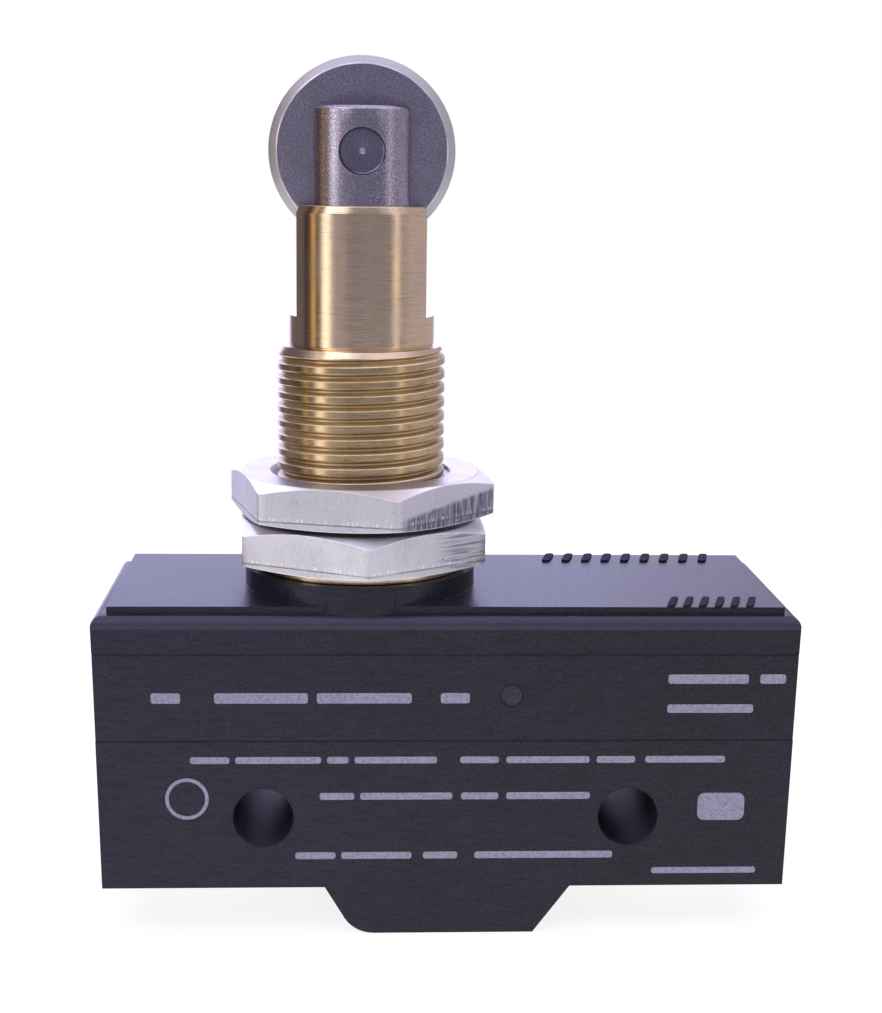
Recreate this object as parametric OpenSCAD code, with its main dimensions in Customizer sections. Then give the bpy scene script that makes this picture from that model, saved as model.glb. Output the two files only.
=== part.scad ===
// Snap-action limit switch with a panel-mount roller plunger.
// Origin: middle of the case at the foot of the centre barrier, +Z up, front face towards -Y.

/* [Case] */
// width of the case at the ledge
case_w = 48.6; // [48:0.1:50]
// depth of the case, front to back
case_d = 17.45; // [17:0.05:18]
// draft of each end of the case, from the ledge down to the shoulders
case_draft = 0.4; // [0:0.05:0.5]
// height of the terminal shoulders above the foot of the barrier
shoulder_z = 3.45; // [3:0.05:4]
// height of the seam between the base and the middle moulding
lower_seam_z = 14.15; // [14:0.05:14.4]
// height of the seam between the middle moulding and the cover
upper_seam_z = 20.3; // [20:0.05:20.6]
// height of the narrow ledge round the cover
ledge_z = 22.95; // [22.8:0.05:23.1]
// height of the raised top of the cover
plateau_z = 23.45; // [23.3:0.05:23.8]
// height of the round boss under the bushing flange
boss_z = 24.85; // [24.6:0.05:25]
// radius of the round boss
boss_r = 8.25; // [7.9:0.05:8.4]

/* [Mounting holes] */
// distance between the two mounting holes
hole_pitch = 25.4; // [25:0.1:25.8]
// radius of each mounting hole
hole_r = 2.1; // [2:0.05:2.2]
// height of the mounting holes
hole_z = 8.6; // [8.5:0.05:8.8]

/* [Bushing] */
// distance of the plunger axis from the middle of the case
axis_x = -6.05; // [-6.3:0.05:-5.8]
// outer radius of the M12 thread
thread_r = 5.95; // [5.9:0.01:6]
// height at which the full thread ends
thread_top_z = 40.15; // [39.5:0.05:40.5]
// radius of the slotted neck
neck_r = 5.15; // [5.1:0.01:5.2]
// height of the top of the neck
neck_top_z = 50.35; // [49.8:0.05:50.6]
// height of the floor of the slot through the neck
neck_slot_z = 42.75; // [42:0.05:43]
// hexagon size of the lock nuts, across flats
nut_af = 17; // [16.5:0.1:18]
// thickness of each lock nut
nut_h = 2.95; // [2.8:0.05:3]

/* [Roller plunger] */
// radius of the plunger
plunger_r = 4.1; // [4.05:0.01:4.12]
// radius of the roller
roller_r = 6.4; // [6.1:0.05:6.5]
// width of the roller
roller_w = 4.7; // [4.4:0.05:4.75]
// height of the roller axis
roller_z = 54; // [53.8:0.05:54.2]
// radius of the roller pin
pin_r = 1.59; // [1.5:0.01:1.65]

/* [Hidden] */
$fn = 64;
eps = 0.01;
sides = [-1, 1];
half_d = case_d / 2;

// case
skirt_t = 2.1;
recess_x = [9.6, 22.4];
recess_z = 5.35;
recess_half = half_d - skirt_t;
barrier_top_x = [-8.45, 8.75];
barrier_foot_x = 6.2;
barrier_round = 2.45;
barrier_round_x = -5;
barrier_tangent = [-7.1, 1.2];
plateau_inset = [1, 0.9, 0.25];
ledge_round = 0.75;
cavity_floor = 12.2;
cavity_roof = 18.6;
cavity_x = [-21.4, 21.5];
cavity_half = 6.2;
end_pocket = [20.6, 5.8, 13.2, 5.4];
wall_fit = 0.05;

// cross pin and the two tongues that it locks
cross_pin_x = 4.4;
cross_pin_z = 17.4;
cross_pin_r = 0.77;
tongue = [4, 1.7, 4.1];

// bushing
flange_r = 7.5;
flange_h = 0.55;
shank_r = 5.6;
shank_z = 20.9;
neck_chamfer = [0.18, 0.5];
slot_w = 5.1;
bore_r = 4.15;
counterbore_r = 4.65;
counterbore_z = 36;
guide_top_z = 26.3;
rod_r = 1.5;
running = 0.06;
retainer_r = 6.9;

// lock nuts
lower_nut_z = 25.45;
upper_nut_z = 28.7;
nut_bore_r = thread_r + 0.07;
nut_chamfer = 0.45;
lower_nut_turn = 33.6;
upper_nut_turn = 44.7;

// roller plunger
cheek_z = 57.05;
fork_slot_w = 5;
fork_floor_z = 47.15;
plunger_foot_z = 31;
plunger_flange_r = 4.6;
plunger_flange_z = 35.9;
spring_bore_r = 2.8;
spring_top_z = 45.9;
roller_chamfer = 0.58;
roller_bore_r = pin_r + running;
rod_foot_z = 20.55;
rod_flange_z = [28.5, 29.5];
rod_flange_r = 2.5;
rod_pilot = [1.5, 3.2];
spring_coils = 8;
spring_wire_r = 0.35;
spring_r = 2.2;

// contact mechanism
pin_plunger_z = [15.6, 20.5];
pin_collar = [2.6, 16.6, 17.4];
pivot_x = -19;
pivot_r = 0.5;
blade_tip_x = 17.9;
blade_z = 15.35;
blade_t = 0.3;
blade_w = 5;
contact_x = 16.5;
contact_r = 1.4;
nc_face_z = 16.25;
nc_arm_z = 16.9;
no_face_z = 13.45;
strip_t = 0.7;
strip_z = 12.25;
strip_w = 6;
riser_x = 9.3;
riser_t = 0.8;
support_x = [-20.6, -18.1];

// terminals and their screws
pad_t = 0.8;
pad_half = 4.4;
pad_x = [9.7, 22.1];
screw_x = 17.2;
screw_r = 1.7;
screw_head = [3.3, 2.2];
screw_len = 2.9;
washer = [3.6, 0.6];
end_screw_z = 9.9;
end_screw_r = 1.5;
end_screw_head = [2.9, 1.9];
end_screw_len = 4.6;
end_washer = [3.1, 0.5];
end_plate_x = 20.6;
end_hole_r = end_screw_r + 0.3;

moulded = "#23242b";
brass = "#b79a55";
plated = "#c9cbd0";
steel = "#8b8a94";
spring_steel = "#a9abb0";

// a box given by its low and high corners
module span(low, high) {
    translate(low) cube([for (i = [0:2]) high[i] - low[i]]);
}

// a round bar along Y, centred on the mid plane
module bar_y(r, length) {
    rotate([90, 0, 0]) cylinder(r = r, h = length, center = true);
}

// half width of the case at height z, with its draft
function end_x(z) = case_w / 2 - case_draft * (ledge_z - z) / (ledge_z - shoulder_z);

// a slab of the case between two heights, its ends drafted
module case_slab(z0, z1, half = half_d) {
    rotate([90, 0, 0]) linear_extrude(2 * half, center = true)
        polygon([[-end_x(z0), z0], [end_x(z0), z0], [end_x(z1), z1], [-end_x(z1), z1]]);
}

// centre barrier between the two lower terminals: both sides slope in, and the left one is rounded into the foot
module barrier() {
    rotate([90, 0, 0]) linear_extrude(case_d, center = true) {
        translate([barrier_round_x, barrier_round]) circle(barrier_round);
        polygon([[barrier_top_x[0], shoulder_z + eps], [barrier_top_x[0], shoulder_z], barrier_tangent, [barrier_round_x, 0],
            [barrier_foot_x, 0], [barrier_top_x[1], shoulder_z], [barrier_top_x[1], shoulder_z + eps]]);
    }
}

module case_base() {
    color(moulded) {
        difference() {
            union() {
                case_slab(shoulder_z, lower_seam_z);
                barrier();
            }
            for (s = sides) {
                translate([s * hole_pitch / 2, 0, hole_z]) bar_y(hole_r, case_d + 2);
                // recess for the terminal between the front and back skirts
                translate([s * (recess_x[0] + recess_x[1]) / 2, 0, recess_z - 2])
                    cube([recess_x[1] - recess_x[0], 2 * recess_half, 4], center = true);
                // way up for the terminal's riser and clearance for its screw
                translate([s * riser_x, 0, lower_seam_z / 2 + 2])
                    cube([riser_t + 2 * wall_fit, strip_w + 2 * wall_fit, lower_seam_z], center = true);
                translate([s * screw_x, 0, recess_z - eps]) cylinder(r = screw_r + 0.3, h = screw_len - pad_t + 0.1);
            }
            span([cavity_x[0], -cavity_half, cavity_floor], [cavity_x[1], cavity_half, lower_seam_z + 1]);
            // pocket of the end terminal, its slot up and the clearance for its screw
            span([end_pocket[0] + pad_t, -end_pocket[3], end_pocket[1]], [case_w, end_pocket[3], end_pocket[2]]);
            span([end_plate_x - wall_fit, -pad_half + 1, end_pocket[1]], [end_plate_x + pad_t + eps, pad_half - 1, lower_seam_z]);
            translate([end_plate_x - end_screw_len, 0, end_screw_z]) rotate([0, 90, 0]) cylinder(r = end_hole_r, h = end_screw_len);
        }
        // two tongues that stand up beside the blade and take the cross pin
        for (s = sides) difference() {
            span([cross_pin_x - tongue[0] / 2, s > 0 ? cavity_half - tongue[1] : -cavity_half + wall_fit, cavity_floor - eps],
                [cross_pin_x + tongue[0] / 2, s > 0 ? cavity_half - wall_fit : -cavity_half + tongue[1], lower_seam_z + tongue[2]]);
            translate([cross_pin_x, 0, cross_pin_z]) bar_y(cross_pin_r, case_d);
        }
    }
}

module case_middle() {
    color(moulded) difference() {
        case_slab(lower_seam_z, upper_seam_z);
        span([cavity_x[0], -cavity_half, lower_seam_z - 1], [cavity_x[1], cavity_half, cavity_roof]);
        translate([cross_pin_x, 0, cross_pin_z]) bar_y(cross_pin_r, case_d + 2);
        translate([axis_x, 0, lower_seam_z]) cylinder(r = rod_r + running, h = 10);
    }
}

// outline of the cover seen along one level axis: rounded at the two upper corners
module cover_outline(foot, top) {
    polygon([[-foot, upper_seam_z], [foot, upper_seam_z], [top, ledge_z - ledge_round], [top - ledge_round, ledge_z],
        [ledge_round - top, ledge_z], [-top, ledge_z - ledge_round]]);
    for (s = sides) translate([s * (top - ledge_round), ledge_z - ledge_round]) circle(ledge_round);
}

module case_cover() {
    color(moulded) difference() {
        union() {
            intersection() {
                rotate([90, 0, 0]) linear_extrude(case_d, center = true) cover_outline(end_x(upper_seam_z), end_x(ledge_z));
                rotate([90, 0, 90]) linear_extrude(case_w + 2, center = true) cover_outline(half_d, half_d);
            }
            span([-end_x(ledge_z) + plateau_inset[0], -half_d + plateau_inset[1], ledge_z - ledge_round / 2],
                [end_x(ledge_z) - plateau_inset[0], half_d - plateau_inset[2], plateau_z]);
            translate([axis_x, 0, ledge_z - 1]) cylinder(r = boss_r, h = boss_z - ledge_z + 1);
        }
        translate([axis_x, 0, upper_seam_z - 1]) cylinder(r = shank_r, h = 10);
        translate([axis_x, 0, upper_seam_z - 1]) cylinder(r = retainer_r, h = 1 + shank_z - upper_seam_z);
    }
}

module cross_pin() {
    color(plated) translate([cross_pin_x, 0, cross_pin_z]) bar_y(cross_pin_r, case_d - 0.1);
}

module mounting_bushing() {
    color(brass) translate([axis_x, 0, 0]) difference() {
        rotate_extrude() polygon([[0, shank_z], [shank_r, shank_z], [shank_r, boss_z], [flange_r, boss_z],
            [flange_r, boss_z + flange_h], [thread_r, boss_z + flange_h], [thread_r, thread_top_z],
            [neck_r + 0.15, thread_top_z + 0.45], [neck_r, thread_top_z + 0.45],
            [neck_r, neck_top_z - neck_chamfer[1]], [neck_r - neck_chamfer[0], neck_top_z], [0, neck_top_z]]);
        translate([0, 0, shank_z - 1]) cylinder(r = bore_r, h = neck_top_z);
        translate([0, 0, shank_z - 1]) cylinder(r = counterbore_r, h = counterbore_z - shank_z + 1);
        // slot right across the neck, for the roller to sink into
        span([-thread_r, -slot_w / 2, neck_slot_z], [thread_r, slot_w / 2, neck_top_z + 1]);
    }
}

module bushing_retainer() {
    color(plated) translate([axis_x, 0, upper_seam_z]) difference() {
        cylinder(r = retainer_r, h = shank_z - upper_seam_z);
        translate([0, 0, -1]) cylinder(r = 2.2, h = 3);
    }
}

module rod_guide() {
    color("#d9d4c4") translate([axis_x, 0, shank_z]) difference() {
        cylinder(r = counterbore_r, h = guide_top_z - shank_z);
        translate([0, 0, -1]) cylinder(r = rod_r + running, h = 8);
    }
}

// hexagon nut with both faces turned down to a round chamfer
module lock_nut(z, turn) {
    corner_r = nut_af / sqrt(3);
    flat_r = nut_af / 2;
    color(plated) translate([axis_x, 0, z]) difference() {
        intersection() {
            rotate([0, 0, turn]) cylinder(r = corner_r, h = nut_h, $fn = 6);
            rotate_extrude() polygon([[0, 0], [flat_r - 0.1, 0], [corner_r + 0.1, nut_chamfer + 0.2],
                [corner_r + 0.1, nut_h - nut_chamfer - 0.2], [flat_r - 0.1, nut_h], [0, nut_h]]);
        }
        translate([0, 0, -1]) cylinder(r = nut_bore_r, h = nut_h + 2);
        // countersunk mouths of the thread
        for (face = [[-eps, 0.45], [nut_h - 0.45, nut_h + eps]]) rotate_extrude()
            polygon([[0, face[0]], [nut_bore_r + (face[0] < 0 ? 0.45 : 0), face[0]],
                [nut_bore_r + (face[0] < 0 ? 0 : 0.45), face[1]], [0, face[1]]]);
    }
}

module lower_lock_nut() {
    lock_nut(lower_nut_z, lower_nut_turn);
}

module upper_lock_nut() {
    lock_nut(upper_nut_z, upper_nut_turn);
}

module roller_plunger() {
    top_chamfer = 0.25;
    color(steel) translate([axis_x, 0, 0]) difference() {
        rotate_extrude() polygon([[0, plunger_foot_z], [plunger_flange_r, plunger_foot_z],
            [plunger_flange_r, plunger_flange_z], [plunger_r, plunger_flange_z],
            [plunger_r, cheek_z - top_chamfer], [plunger_r - top_chamfer, cheek_z], [0, cheek_z]]);
        translate([0, 0, plunger_foot_z - 1]) cylinder(r = spring_bore_r, h = spring_top_z - plunger_foot_z + 1);
        span([-plunger_r - 1, -fork_slot_w / 2, fork_floor_z], [plunger_r + 1, fork_slot_w / 2, cheek_z + 1]);
        translate([0, 0, roller_z]) bar_y(pin_r, 3 * plunger_r);
    }
}

module roller_pin() {
    pin_chamfer = 0.12;
    // its flat ends lie just inside the round of the plunger, so that they pass down the bore
    length = 2 * sqrt(pow(plunger_r, 2) - pow(pin_r, 2)) - 0.1;
    color("#5f6068") translate([axis_x, 0, roller_z]) rotate([90, 0, 0]) rotate_extrude()
        polygon([[0, -length / 2], [pin_r - pin_chamfer, -length / 2], [pin_r, pin_chamfer - length / 2],
            [pin_r, length / 2 - pin_chamfer], [pin_r - pin_chamfer, length / 2], [0, length / 2]]);
}

module roller() {
    half = roller_w / 2;
    color(steel) translate([axis_x, 0, roller_z]) rotate([90, 0, 0]) rotate_extrude()
        polygon([[roller_bore_r, -half], [roller_r - roller_chamfer, -half], [roller_r, roller_chamfer - half],
            [roller_r, half - roller_chamfer], [roller_r - roller_chamfer, half], [roller_bore_r, half]]);
}

// coil spring drawn as a stack of closed coils with a flat ring at each end
module overtravel_spring() {
    pitch = (spring_top_z - rod_flange_z[1] - 2 * spring_wire_r - 0.1) / spring_coils;
    color(spring_steel) translate([axis_x, 0, rod_flange_z[1] + spring_wire_r + 0.05])
        for (i = [0:spring_coils]) translate([0, 0, i * pitch])
            rotate_extrude() translate([spring_r, 0]) circle(spring_wire_r);
}

module push_rod() {
    color(spring_steel) translate([axis_x, 0, 0]) {
        translate([0, 0, rod_foot_z]) cylinder(r = rod_r, h = rod_flange_z[0] - rod_foot_z + eps);
        translate([0, 0, rod_flange_z[0]]) cylinder(r = rod_flange_r, h = rod_flange_z[1] - rod_flange_z[0]);
        translate([0, 0, rod_flange_z[1] - eps]) cylinder(r = rod_pilot[0], h = rod_pilot[1]);
    }
}

module pin_plunger() {
    color("#7a2f22") translate([axis_x, 0, 0]) {
        translate([0, 0, pin_plunger_z[0]]) cylinder(r = rod_r, h = pin_plunger_z[1] - pin_plunger_z[0]);
        translate([0, 0, pin_collar[1]]) cylinder(r = pin_collar[0], h = pin_collar[2] - pin_collar[1]);
    }
}

module contact_blade() {
    window = [-3.5, 9.5, 1.4];
    color("#c08a4a") difference() {
        union() {
            span([pivot_x, -blade_w / 2, blade_z - blade_t / 2], [blade_tip_x, blade_w / 2, blade_z + blade_t / 2]);
            // rolled end that rocks on its support
            translate([pivot_x, 0, blade_z]) bar_y(pivot_r, blade_w);
        }
        span([window[0], -window[2], blade_z - 1], [window[1], window[2], blade_z + 1]);
        translate([contact_x, 0, blade_z - 1]) cylinder(r = 0.8, h = 2);
    }
}

// bowed tongue in the window of the blade, which gives the snap action
module snap_spring() {
    bow_r = 15;
    half_angle = 22.5;
    color("#c08a4a") translate([3, 0, blade_z - 0.1 + bow_r * cos(half_angle)]) rotate([90, 0, 0])
        rotate([0, 0, -90 - half_angle]) translate([0, 0, -1.1]) linear_extrude(2.2) difference() {
            circle(bow_r);
            circle(bow_r - 0.2);
            rotate(2 * half_angle) translate([-40, 0]) square(80);
            translate([-40, -80]) square(80);
        }
}

module moving_contact() {
    color(plated) translate([contact_x, 0, blade_z]) {
        cylinder(r = 0.8, h = 1.2, center = true);
        for (s = sides) translate([0, 0, s * (blade_t / 2 + 0.3)]) cylinder(r = contact_r, h = 0.6, center = true);
    }
}

module blade_support() {
    top = blade_z - pivot_r - 0.05;
    color(brass) {
        span([support_x[0], -strip_w / 2, strip_z + strip_t], [support_x[1], strip_w / 2, top]);
        // ears on both sides of the blade's end
        for (s = sides) translate([(support_x[0] + support_x[1]) / 2, s * (strip_w / 2 - 0.2), top + 0.6])
            cube([support_x[1] - support_x[0], 0.4, 1.3], center = true);
    }
}

// terminal under one shoulder: pad, riser and the strip along the cavity floor
module shoulder_terminal(s, reach) {
    color(brass) difference() {
        union() {
            span([min(s * pad_x[0], s * pad_x[1]), -pad_half, recess_z - pad_t],
                [max(s * pad_x[0], s * pad_x[1]), pad_half, recess_z]);
            span([min(s * (riser_x - riser_t / 2), s * pad_x[0] + s * eps), -strip_w / 2, recess_z - pad_t],
                [max(s * (riser_x - riser_t / 2), s * pad_x[0] + s * eps), strip_w / 2, recess_z]);
            translate([s * riser_x, 0, (recess_z - pad_t + strip_z + strip_t) / 2])
                cube([riser_t, strip_w, strip_z + strip_t - recess_z + pad_t], center = true);
            span([min(s * riser_x, s * reach), -strip_w / 2, strip_z], [max(s * riser_x, s * reach), strip_w / 2, strip_z + strip_t]);
        }
        translate([s * screw_x, 0, 0]) cylinder(r = screw_r + running, h = recess_z + 1);
    }
}

module common_terminal() {
    shoulder_terminal(-1, 20.8);
}

module normally_open_terminal() {
    shoulder_terminal(1, 18.4);
}

module normally_closed_terminal() {
    arm_half = pad_half - 1.1;
    color(brass) difference() {
        union() {
            span([end_plate_x, -arm_half, end_pocket[1] + 0.1], [end_plate_x + pad_t, arm_half, nc_arm_z + strip_t]);
            span([contact_x - 2, -arm_half, nc_arm_z], [end_plate_x + eps, arm_half, nc_arm_z + strip_t]);
        }
        translate([end_plate_x - 1, 0, end_screw_z]) rotate([0, 90, 0]) cylinder(r = end_screw_r + running, h = 4);
    }
}

module normally_open_contact() {
    color(plated) translate([contact_x, 0, strip_z + strip_t]) cylinder(r = contact_r, h = no_face_z - strip_z - strip_t);
}

module normally_closed_contact() {
    color(plated) translate([contact_x, 0, nc_face_z]) cylinder(r = contact_r, h = nc_arm_z - nc_face_z);
}

module flat_washer(size, bore) {
    color(plated) difference() {
        cylinder(r = size[0], h = size[1]);
        translate([0, 0, -1]) cylinder(r = bore, h = 3);
    }
}

// cross-slotted screw, its head above z = 0 and its shank below
module terminal_screw(head, r, length) {
    slot = [0.9, 0.9];
    color(plated) {
        difference() {
            rotate_extrude() polygon([[0, 0], [head[0], 0], [head[0], head[1] - 0.5], [head[0] - 0.6, head[1]], [0, head[1]]]);
            for (a = [0, 90]) rotate([0, 0, a]) translate([-head[0] * 0.75, -slot[0] / 2, head[1] - slot[1]])
                cube([head[0] * 1.5, slot[0], 2]);
        }
        translate([0, 0, -length]) cylinder(r = r, h = length + eps);
    }
}

// places a part at the under side of a shoulder's pad, facing down
module under_pad(s, drop = 0) {
    translate([s * screw_x, 0, recess_z - pad_t - drop]) rotate([180, 0, 0]) children();
}

// places a part on the outer face of the end terminal, facing +X
module on_end_plate(out = 0) {
    translate([end_plate_x + pad_t + out, 0, end_screw_z]) rotate([0, 90, 0]) children();
}

module common_washer() {
    under_pad(-1) flat_washer(washer, screw_r + 0.3);
}

module normally_open_washer() {
    under_pad(1) flat_washer(washer, screw_r + 0.3);
}

module normally_closed_washer() {
    on_end_plate() flat_washer(end_washer, end_screw_r + 0.3);
}

module common_screw() {
    under_pad(-1, washer[1]) terminal_screw(screw_head, screw_r, screw_len + washer[1]);
}

module normally_open_screw() {
    under_pad(1, washer[1]) terminal_screw(screw_head, screw_r, screw_len + washer[1]);
}

module normally_closed_screw() {
    on_end_plate(end_washer[1]) terminal_screw(end_screw_head, end_screw_r, end_screw_len + end_washer[1]);
}

case_base();
case_middle();
case_cover();
cross_pin();
mounting_bushing();
bushing_retainer();
rod_guide();
lower_lock_nut();
upper_lock_nut();
roller_plunger();
roller_pin();
roller();
overtravel_spring();
push_rod();
pin_plunger();
contact_blade();
snap_spring();
moving_contact();
blade_support();
common_terminal();
normally_open_terminal();
normally_closed_terminal();
normally_open_contact();
normally_closed_contact();
common_washer();
normally_open_washer();
normally_closed_washer();
common_screw();
normally_open_screw();
normally_closed_screw();
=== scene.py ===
# Limit switch with a panel-mount roller plunger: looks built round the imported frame.
import math

import bmesh
import bpy
from mathutils import Matrix, Vector


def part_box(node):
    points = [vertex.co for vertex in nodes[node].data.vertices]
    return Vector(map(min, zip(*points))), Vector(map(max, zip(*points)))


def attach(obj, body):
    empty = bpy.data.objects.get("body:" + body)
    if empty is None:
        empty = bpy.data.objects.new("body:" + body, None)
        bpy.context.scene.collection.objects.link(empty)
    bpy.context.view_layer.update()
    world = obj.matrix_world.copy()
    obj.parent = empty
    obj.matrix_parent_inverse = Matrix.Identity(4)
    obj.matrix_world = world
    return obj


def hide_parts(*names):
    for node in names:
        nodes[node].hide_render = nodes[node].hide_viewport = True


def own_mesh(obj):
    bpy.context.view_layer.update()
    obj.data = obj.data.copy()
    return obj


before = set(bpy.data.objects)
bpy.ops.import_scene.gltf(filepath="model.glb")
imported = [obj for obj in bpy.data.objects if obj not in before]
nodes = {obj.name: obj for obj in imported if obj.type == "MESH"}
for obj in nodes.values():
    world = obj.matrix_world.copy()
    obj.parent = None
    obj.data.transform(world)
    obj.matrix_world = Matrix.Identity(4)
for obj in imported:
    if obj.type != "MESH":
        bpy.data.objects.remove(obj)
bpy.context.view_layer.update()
mm = 0.001
print("frame loaded:", len(nodes), "nodes")


def low(node):
    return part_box(node)[0] / mm


def high(node):
    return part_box(node)[1] / mm


# heights and radii that several pieces share, read from the frame in millimetres
axisX = (low("mounting_bushing").x + high("mounting_bushing").x) / 2
halfDepth = high("case_middle").y
rollerZ = (low("roller").z + high("roller").z) / 2
neckTop = high("mounting_bushing").z
coverTop = 23.45
nutShape = {"face": 8.4, "flat": 8.5, "topSlope": 0.43, "bottomSlope": 0.2}


class Wire:
    # an output socket that sums and products can be written with
    def __init__(self, finish, socket):
        self.finish = finish
        self.socket = socket

    def math(self, operation, *values):
        return self.finish.add("ShaderNodeMath", {"operation": operation}, dict(enumerate(values)))

    def __add__(self, other):
        return self.math("ADD", self, other)

    def __sub__(self, other):
        return self.math("SUBTRACT", self, other)

    def __rsub__(self, other):
        return self.math("SUBTRACT", other, self)

    def __mul__(self, other):
        return self.math("MULTIPLY", self, other)

    def __truediv__(self, other):
        return self.math("DIVIDE", self, other)

    def __rtruediv__(self, other):
        return self.math("DIVIDE", other, self)

    __radd__ = __add__
    __rmul__ = __mul__

    def ramp(self, *stops):
        # level between (position, level) stops
        greys = [(at, (level, level, level, 1)) for at, level in stops]
        return self.finish.add("ShaderNodeValToRGB", {"stops": greys}, {"Fac": self})

    def size(self):
        return self.math("ABSOLUTE", self)


class Finish:
    # a material, or the world, and the nodes that feed its shader
    def __init__(self, name, colour=(0.5, 0.5, 0.5), world=False, **fixed):
        self.owner = (bpy.data.worlds if world else bpy.data.materials).new(name)
        self.owner.use_nodes = True
        self.tree = self.owner.node_tree
        self.shader = self.tree.nodes["Background" if world else "Principled BSDF"]
        if not world:
            self.owner.diffuse_color = (*colour, 1)
            self.put(Base_Color=colour, **fixed)

    def plug(self, socket, value):
        if isinstance(value, Wire):
            self.tree.links.new(value.socket, socket)
        elif socket.type == "RGBA":
            socket.default_value = (*value[:3], 1)
        else:
            socket.default_value = value

    def put(self, **values):
        for label, value in values.items():
            self.plug(self.shader.inputs[label.replace("_", " ")], value)

    def add(self, kind, settings=None, values=None, output=0):
        node = self.tree.nodes.new(kind)
        for label, value in (settings or {}).items():
            if label != "stops":
                setattr(node, label, value)
                continue
            stops = node.color_ramp.elements
            for index, (at, colour) in enumerate(value):
                stop = stops[index] if index < len(stops) else stops.new(at)
                stop.position = at
                stop.color = colour
        for label, value in (values or {}).items():
            self.plug(node.inputs[label], value)
        return Wire(self, node.outputs[output])

    def place(self, stretch=(1, 1, 1), about=(0, 0, 0)):
        # the piece's own coordinates in millimetres, each axis stretched
        where = self.add("ShaderNodeTexCoord", output=3)
        shift = [v * mm for v in about]
        scale = [s / mm for s in stretch]
        moved = self.add("ShaderNodeVectorMath", {"operation": "SUBTRACT"}, {0: where, 1: shift})
        return self.add("ShaderNodeVectorMath", {"operation": "MULTIPLY"}, {0: moved, 1: scale})

    def split(self, where):
        # x, y and z of a vector, each on its own
        parts = self.add("ShaderNodeSeparateXYZ", None, {0: where}).socket.node
        return [Wire(self, parts.outputs[index]) for index in range(3)]

    def axes(self, stretch=(1, 1, 1), about=(0, 0, 0)):
        return self.split(self.place(stretch, about))

    def reach(self, flat, about):
        # distance from an axis in millimetres: flat is 1 on the two axes that count
        return self.add("ShaderNodeVectorMath", {"operation": "LENGTH"}, {0: self.place(flat, about)}, 1)

    def noise(self, where, scale=1.0, detail=2.0, rough=0.5):
        return self.add("ShaderNodeTexNoise", {"noise_dimensions": "3D"},
                        {"Vector": where, "Scale": scale, "Detail": detail, "Roughness": rough})

    def rings(self, distance, scale):
        # noise that changes only with a distance: turning marks
        line = self.add("ShaderNodeCombineXYZ", None, {0: distance})
        return self.noise(line, scale, 3.0, 0.65)

    def blend(self, mask, first, second):
        # first where the mask is 0, second where it is 1; 6 and 7 are the node's colour sockets
        return self.add("ShaderNodeMix", {"data_type": "RGBA"}, {0: mask, 6: first, 7: second}, 2)

    def bump(self, height, depth, under=None):
        # height runs from 0 to 1 and stands for depth in millimetres
        values = {"Height": height, "Distance": depth * mm, "Strength": 1.0}
        if under:
            values["Normal"] = under
        return self.add("ShaderNodeBump", None, values)


def softened(profile, radius, steps=3):
    # the corners of a closed profile rounded off, wherever both neighbours are far enough
    result = []
    count = len(profile)
    for index, (r, z) in enumerate(profile):
        before = Vector(profile[index - 1])
        after = Vector(profile[(index + 1) % count])
        here = Vector((r, z))
        reachable = min((before - here).length, (after - here).length) * 0.45
        cut = min(radius, reachable)
        if r < 1e-6 or cut < 0.01:
            result.append((r, z))
            continue
        start = here + (before - here).normalized() * cut
        end = here + (after - here).normalized() * cut
        for step in range(steps + 1):
            t = step / steps
            point = start * (1 - t) ** 2 + here * 2 * t * (1 - t) + end * t ** 2
            result.append((point.x, point.y))
    return result


def spun(rings, segments, axis="Z", centre=(0, 0, 0), start=0.0):
    # a closed profile turned about Z or Y; a ring is one (radius, height), or a list with one for each
    # column and one more, so that a helix can meet the next turn at the seam
    shape = bmesh.new()
    grid = []
    for ring in rings:
        columns = ring if isinstance(ring, list) else [ring] * (segments + 1)
        row = []
        for index, (radius, height) in enumerate(columns):
            angle = start + 2 * math.pi * index / segments
            across, along = radius * math.cos(angle), radius * math.sin(angle)
            spot = (across, along, height) if axis == "Z" else (across, height, along)
            row.append(shape.verts.new(Vector(spot) + Vector(centre)))
        grid.append(row)
    for lower, upper in zip(grid, grid[1:] + grid[:1]):
        for index in range(segments):
            shape.faces.new((lower[index], lower[index + 1], upper[index + 1], upper[index]))
    bmesh.ops.remove_doubles(shape, verts=shape.verts, dist=1e-4)
    bmesh.ops.dissolve_degenerate(shape, edges=shape.edges, dist=1e-5)
    bmesh.ops.recalc_face_normals(shape, faces=shape.faces)
    return shape


def threadRings(bottom, top, crest, root, pitch, limit, segments, inside=False):
    # rows of a helix between two heights, kept inside the radius that limit gives for a height
    crestShare, flankShare, lastShare = 0.5, 0.19, 0.99     # shares of the pitch
    rolled = 0.06                                           # how far the crest's edges are rolled over
    lip = crest + (rolled if inside else -rolled)
    shape = [(rolled, crest), (crestShare - rolled, crest), (crestShare, lip),
             (crestShare + flankShare, root), (0.5 + crestShare / 2, root), (1 - flankShare, root),
             (lastShare, lip)]
    pick = max if inside else min
    rows = []
    turns = math.ceil((top - bottom) / pitch) + 2
    for turn in range(-1, turns):
        for share, radius in shape:
            row = []
            for index in range(segments + 1):
                height = bottom + pitch * (turn + share + index / segments - 1)
                height = min(max(height, bottom), top)
                most = limit(height)
                row.append((pick(radius, most) if bottom < height < top else most, height))
            rows.append(row)
    return rows


def box(lowCorner, highCorner):
    shape = bmesh.new()
    bmesh.ops.create_cube(shape, size=1)
    for vert in shape.verts:
        ends = zip(lowCorner, highCorner, vert.co)
        vert.co = Vector([first + (last - first) * (share + 0.5) for first, last, share in ends])
    return shape


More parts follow.
